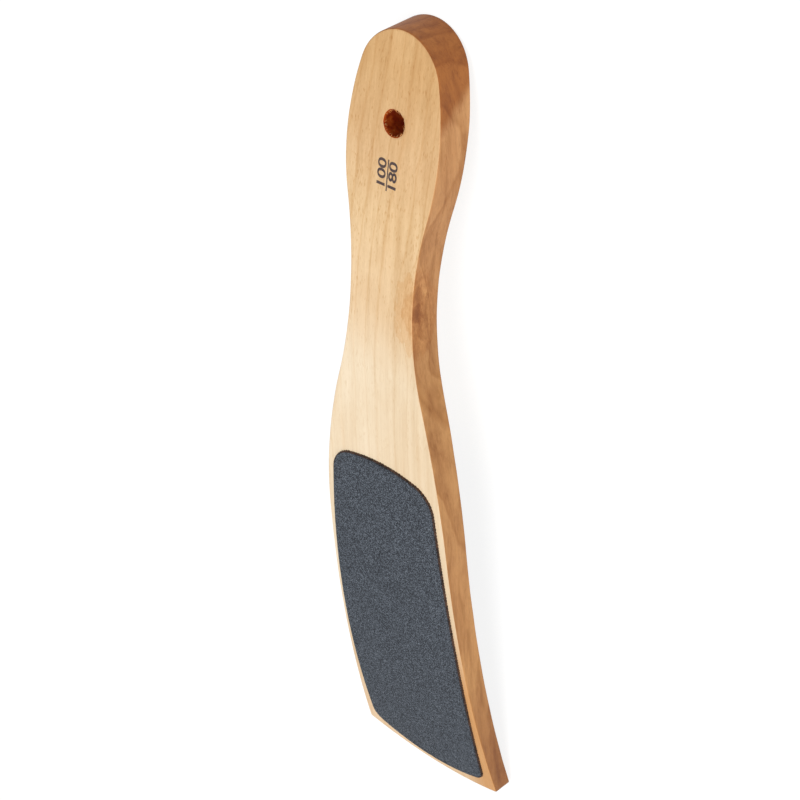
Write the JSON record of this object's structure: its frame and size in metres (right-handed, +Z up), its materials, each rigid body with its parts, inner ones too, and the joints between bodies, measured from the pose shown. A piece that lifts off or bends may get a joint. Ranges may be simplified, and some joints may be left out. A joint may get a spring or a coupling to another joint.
{
  "type": "foot file",
  "caption": "Bowed wooden foot file with a rounded head, hanging hole, narrow waist and wide blade with an abrasive sheet on each face.",
  "frame": {"origin": "on the table, under the middle of the file's length and width, with the file lying on its hollow side", "axes": "+X from the head to the blade's end, +Y across the width, +Z up out of the marked, outward-bowed face"},
  "size_m": [0.25, 0.0536, 0.0259],
  "materials": {
    "wood": "pale hardwood, sanded and satin",
    "glue_film": "thin cured glue film, dark at its cut edge",
    "backing_paper": "resin-soaked backing paper with a scorched cut edge",
    "coarse_grit": "slate blue-grey grit bound in resin, coarse",
    "fine_grit": "slate blue-grey grit bound in resin, fine"
  },
  "bodies": {
    "root": {"wooden_body": "wood", "front_glue_film": "glue_film", "front_backing_paper": "backing_paper", "front_grit_coat": "coarse_grit", "back_glue_film": "glue_film", "back_backing_paper": "backing_paper", "back_grit_coat": "fine_grit"}
  },
  "joints": []
}
